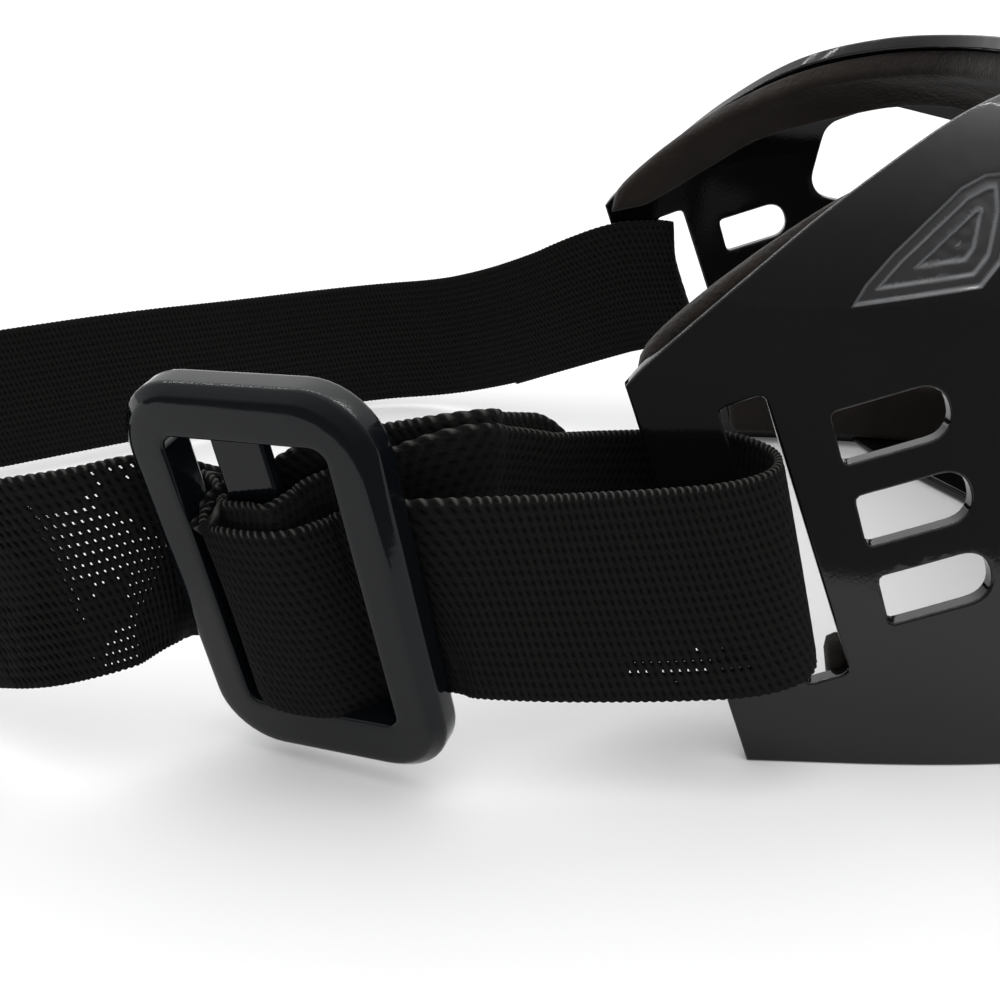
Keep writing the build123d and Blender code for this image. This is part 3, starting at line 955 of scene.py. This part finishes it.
EDGE_STEPS, EDGE_THREAD, EDGE_SWELL, EDGE_OUT = 6, 0.28, 0.20, 0.22
WAVE_HIGH, WAVE_LONG, WAVE_TALL = 0.10, 7.3, 5.0     # the webbing's own slow waves


def upright(points):
    """Centre points and width directions for a stretch that stands on edge."""
    made = []
    for x, y, low, lean, tip in points:
        middle, tilt = low + STRAP_WIDE / 2, radians(lean)
        width = Vector((-sin(tilt), -sin(radians(tip)), cos(tilt))).normalized()
        made.append((x + tan(tilt) * (SLOT_CENTRE[1] - middle), y, middle, *width))
    return made


def held(points):
    """Centre points and width directions for a stretch in the slider."""
    return [(*on_slider([(along, up, out)])[0], *SLIDER_AXES[1]) for along, out, up in points]


def spline(controls, steps):
    """Quadratic B-spline through the middles of the control polygon's runs."""
    c = ends_added(controls)
    t = np.linspace(0, 1, steps, endpoint=False)[:, None]
    made = []
    for a, b, d in zip(c, c[1:], c[2:]):
        start, stop = (a + b) / 2, (b + d) / 2
        made.append((1 - t) ** 2 * start + 2 * t * (1 - t) * b + t ** 2 * stop)
    return np.vstack([*made, (c[-2] + c[-1])[None] / 2])


def strap_route():
    """(points, widths, arc lengths, marks) along the whole strap; marks are where pieces part."""
    stretches = [upright(FAR_FOLD), upright(NECK), upright(NEAR), held(HUMP), upright(OUTER), upright(INNER),
                 held(LOOP), upright(SEWN_END)]
    controls = [c for stretch in stretches for c in stretch]
    steps = 40
    line = spline(controls, steps)
    for _ in range(6):     # evens out the curve
        line[1:-1] = (line[:-2] + 2 * line[1:-1] + line[2:]) / 4
    arc = running_length(line[:, :3])
    ends = np.cumsum([len(s) for s in stretches])
    parting = {"neck": ends[1] - 0.5, "near": ends[2], "hump": ends[3], "run": ends[5]}
    marks = {key: float(np.interp(value * steps, np.arange(len(arc)), arc)) for key, value in parting.items()}
    return line, arc, marks


def dent_of(along, up):
    """Depth of the stitch dents, 0 to 1, and each place's stitch cell."""
    row = np.floor(up / STITCH_TALL + 0.5)
    shifted = along / STITCH_LONG + 0.5 * (row % 2)
    cell = np.floor(shifted + 0.5)
    aside, above = (shifted - cell) * STITCH_LONG, up - row * STITCH_TALL
    slant = aside + above * DENT_SLANT
    dent = np.exp(-((slant / DENT_LONG) ** 2 + (above / DENT_TALL) ** 2))
    return dent, cell.astype(int), row.astype(int)


def webbing_axes(route, at):
    """Centres, width directions and outward directions at those arc lengths."""
    line, arc, _ = route
    values = np.stack([np.interp(at, arc, line[:, k]) for k in range(6)], 1)
    centre, width = values[:, :3], values[:, 3:]
    ahead = unit(np.gradient(centre, axis=0))
    width = width - (width * ahead).sum(1)[:, None] * ahead
    return centre, width, unit(np.cross(width, ahead))


def twisted_edge(sign, at, centre, width, out):
    """Lines of points along one edge's twisted yarn, and how high each is on its twist."""
    lines = []
    for k in range(1, EDGE_STEPS):
        turn = pi * k / EDGE_STEPS
        twist = np.abs(np.sin(pi * at / STITCH_LONG + sign * 0.9 * cos(turn)))
        ring = (EDGE_THREAD + EDGE_SWELL * twist ** 0.7)[:, None]
        aside = sign * (FACE_REACH + EDGE_OUT + ring * sin(turn))
        lines.append((centre + width * aside + out * ring * cos(turn) * 1.05, twist))
    return lines


def hole_walls(hole, around, opposite):
    """Faces that join the front to the back round each open stitch."""
    count, rows = hole.shape
    faces = []
    for a, b in zip(*np.where(hole)):
        for da, db, p, q in ((-1, 0, (0, 0), (0, 1)), (1, 0, (1, 1), (1, 0)), (0, -1, (1, 0), (0, 0)),
                             (0, 1, (0, 1), (1, 1))):
            na, nb = a + da, b + db
            if 0 <= na < count and 0 <= nb < rows and hole[na, nb]:
                continue
            first, last = (a + p[0]) * around, (a + q[0]) * around
            faces.append([first + b + p[1], last + b + q[1],
                          last + opposite(b + q[1]), first + opposite(b + p[1])])
    return faces


def end_faces(base, rows, edge, around, opposite):
    """Faces that close one end: strips between the two sides, and the two round edges."""
    faces = [[base + k, base + opposite(k), base + opposite(k + 1), base + k + 1] for k in range(rows)]
    faces.append([base + k for k in range(rows, rows + edge + 2)])
    faces.append([base + k % around for k in range(2 * rows + edge + 1, around + 1)])
    return faces


def strap_piece(name, route, start, stop, fine, look, replaced, open_cells=None):
    """A stretch of webbing between two arc lengths: two knitted faces and twisted edges."""
    count = max(8, int(round((stop - start) / (STITCH_LONG / fine))))
    at = np.linspace(start, stop, count + 1)
    centre, width, out = webbing_axes(route, at)
    rows = int(round(2 * FACE_REACH / (STITCH_TALL / max(2, fine - 1))))
    up = np.linspace(-FACE_REACH, FACE_REACH, rows + 1)
    grid_s, grid_w = np.meshgrid(at, up, indexing="ij")
    dent, cell, row = dent_of(grid_s, grid_w)
    beside = np.clip((np.abs(grid_w) - (FACE_REACH - 0.5)) / 0.5, 0, 1)
    thick = HALF_WEB - DENT_DEEP * dent - EDGE_THIN * beside
    if open_cells:
        thinned = np.maximum(0.2, thick - 0.25 * dent ** 0.5)
        thick = np.where(open_cells(cell, row), thinned, thick)
    wave = WAVE_HIGH * np.sin(grid_s / WAVE_LONG) * np.cos(grid_w / WAVE_TALL)
    flat = centre[:, None] + width[:, None] * grid_w[..., None]
    front = flat + out[:, None] * (thick + wave)[..., None]
    back = flat - out[:, None] * (thick - wave)[..., None]
    top = twisted_edge(1, at, centre, width, out)
    low = twisted_edge(-1, at, centre, width, out)[::-1]
    # the loop round the strap: up the front, over the top edge, down the back, under the lower edge
    columns = [*front.swapaxes(0, 1), *(line for line, _ in top),
               *back.swapaxes(0, 1)[::-1], *(line for line, _ in low)]
    # painted light per point: painted shade in the dents and the edges' grooves, with the lower edge the more
    # shaded; painted highlight (below zero) on the upper edge's crests
    shade = [*dent.T, *(0.5 - 1.5 * twist ** 5 for _, twist in top),
             *dent.T[::-1], *(0.55 * (1 - twist) for _, twist in low)]
    around, edge = len(columns), len(top)

    def opposite(column):
        return 2 * rows + edge + 1 - column

    hole = np.zeros((count, rows), bool)
    if open_cells:
        middles = np.meshgrid((at[1:] + at[:-1]) / 2, (up[1:] + up[:-1]) / 2, indexing="ij")
        depth, cell, row = dent_of(*middles)
        hole = open_cells(cell, row) & (depth > 0.55)
    i, j = np.meshgrid(np.arange(count), np.arange(around), indexing="ij")
    after = (j + 1) % around
    quads = np.stack([i * around + j, i * around + after, (i + 1) * around + after, (i + 1) * around + j], -1)
    keep = np.ones((count, around), bool)
    keep[:, :rows] = ~hole
    keep[:, rows + edge + 1:2 * rows + edge + 1] = ~hole[:, ::-1]
    faces = quads[keep].tolist() + hole_walls(hole, around, opposite)
    faces += end_faces(0, rows, edge, around, opposite)
    faces += [face[::-1] for face in end_faces(count * around, rows, edge, around, opposite)]
    made = piece(name, np.stack(columns, 1).reshape(-1, 3), faces, look, replaced)
    hold_values(made, "dent", np.stack(shade, 1).reshape(-1))
    return made


def scatter(cell, row, seed=0.0):
    """An even, repeatable number from 0 to 1 for each stitch."""
    return np.abs(np.sin(cell * 12.9898 + row * 78.233 + seed) * 43758.5453) % 1


def stretched_open(seed, share):
    """Picks stitch cells that are stretched open, in drifts; share is how many."""
    def picked(cell, row):
        s, w = cell * STITCH_LONG, row * STITCH_TALL
        drift = np.sin(s / 2.9 + seed) * np.cos(w / 3.3 - s / 6.0) + 0.5 * np.sin(w / 1.9 + s / 4.1 + seed)
        return 0.55 * drift + 0.5 * scatter(cell, row, seed) < share

    return picked


def open_patch(middle, reach, up, rise):
    """Picks the open cells of one small patch around a place on the webbing."""
    def picked(cell, row):
        s, w = cell * STITCH_LONG, row * STITCH_TALL
        return ((s - middle) / reach) ** 2 + ((w - up) / rise) ** 2 + scatter(cell, row) < 1.2

    return picked


def strap(look):
    route = strap_route()
    line, arc, marks = route
    neck = strap_piece("neck_webbing", route, 0.0, marks["neck"], 2, look, ["neck_strap"])
    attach(neck, "root")
    near = strap_piece("near_webbing", route, marks["neck"], marks["near"], 6, look, ["near_run"],
                       stretched_open(1.7, 0.42))
    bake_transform(near)
    hump = strap_piece("hump_webbing", route, marks["near"], marks["hump"], 5, look, ["slider_hump"])
    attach(hump, "strap_end")
    run = strap_piece("adjusting_webbing", route, marks["hump"], marks["run"], 5, look, ["adjusting_run"],
                      open_patch(marks["hump"] + 27.0, 6.5, -8.0, 2.0))
    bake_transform(run)
    loop = strap_piece("sewn_webbing", route, marks["run"], arc[-1], 4, look, ["sewn_loop"])
    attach(loop, "strap_end")
    return route


# ---- bar tacks ----
THREAD_RADIUS, TACK_LONG, TACK_PITCH, TACK_SLANT = 0.22, 19.0, 1.3, 0.28
TACK_ROWS, ROW_PITCH = 3, 1.6


def tack_stitch(start, stop, out, sides=8):
    """One stitch: a thread that dives at both ends."""
    rings = []
    side = np.cross(unit(stop - start), out)
    for t in np.linspace(0, 1, 7):
        rise = sin(pi * t)
        middle = start + (stop - start) * t + out * THREAD_RADIUS * (1.1 * rise - 0.6)
        size = THREAD_RADIUS * (0.55 + 0.45 * rise)
        rings.append(np.array([middle + side * size * cos(a) + out * size * sin(a)
                               for a in np.linspace(0, 2 * pi, sides, endpoint=False)]))
    return rings_to_mesh(rings, capped=True)


def tack_rows(route, first):
    """Places on the strap's face towards +Y, one for each row of stitches from an arc length on,
    with the directions up the width and outwards there."""
    line, arc, _ = route
    rows = []
    for k in range(TACK_ROWS):
        here, ahead = (np.array([np.interp(first + k * ROW_PITCH + step, arc, line[:, j]) for j in range(6)])
                       for step in (0.0, 0.5))
        width = unit(here[3:])
        out = np.cross(width, unit(ahead[:3] - here[:3]))
        out = -out if out[1] < 0 else out
        rows.append(here[:3] + out * HALF_WEB)
    return rows, width, unit(out)


def bar_tack(name, route, first, look, replaced, body):
    """Rows of slanted stitches across the webbing."""
    rows, up, out = tack_rows(route, first)
    side = np.cross(up, out)
    verts, faces = [], []
    for number, middle in enumerate(rows):
        for k in range(int(TACK_LONG / TACK_PITCH)):
            low = k * TACK_PITCH - TACK_LONG / 2
            slant = side * TACK_SLANT * (1 if (k + number) % 2 else -1)
            stitch, stitch_faces = tack_stitch(
                middle + up * (low + 0.1) - slant, middle + up * (low + TACK_PITCH - 0.1) + slant, out)
            faces += [tuple(i + len(verts) * len(stitch) for i in face) for face in stitch_faces]
            verts.append(stitch)
    made = piece(name, np.vstack(verts), faces, look, replaced)
    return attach(made, body)


def bar_tacks(route, look):
    bar_tack("far_tack_stitches", route, 4.0, look, ["far_bar_tack"], "root")
    bar_tack("near_tack_stitches", route, route[1][-1] - 9.0, look, ["near_bar_tack"], "strap_end")


# ---- the whole ----
camera()
studio()
floor()
front_card()
led_strips()

glossy = shell_plastic()
basket(glossy)
chin_plate(glossy)
foam_look = foam_cloth()
rim_foam(foam_look)
lower_foam(1, "right_lower_foam", "lower_foam_right", foam_look)
lower_foam(-1, "left_lower_foam", "lower_foam_left", foam_look)
slider(slider_plastic())
strap_line = strap(knitted_elastic())
bar_tacks(strap_line, sewing_thread())
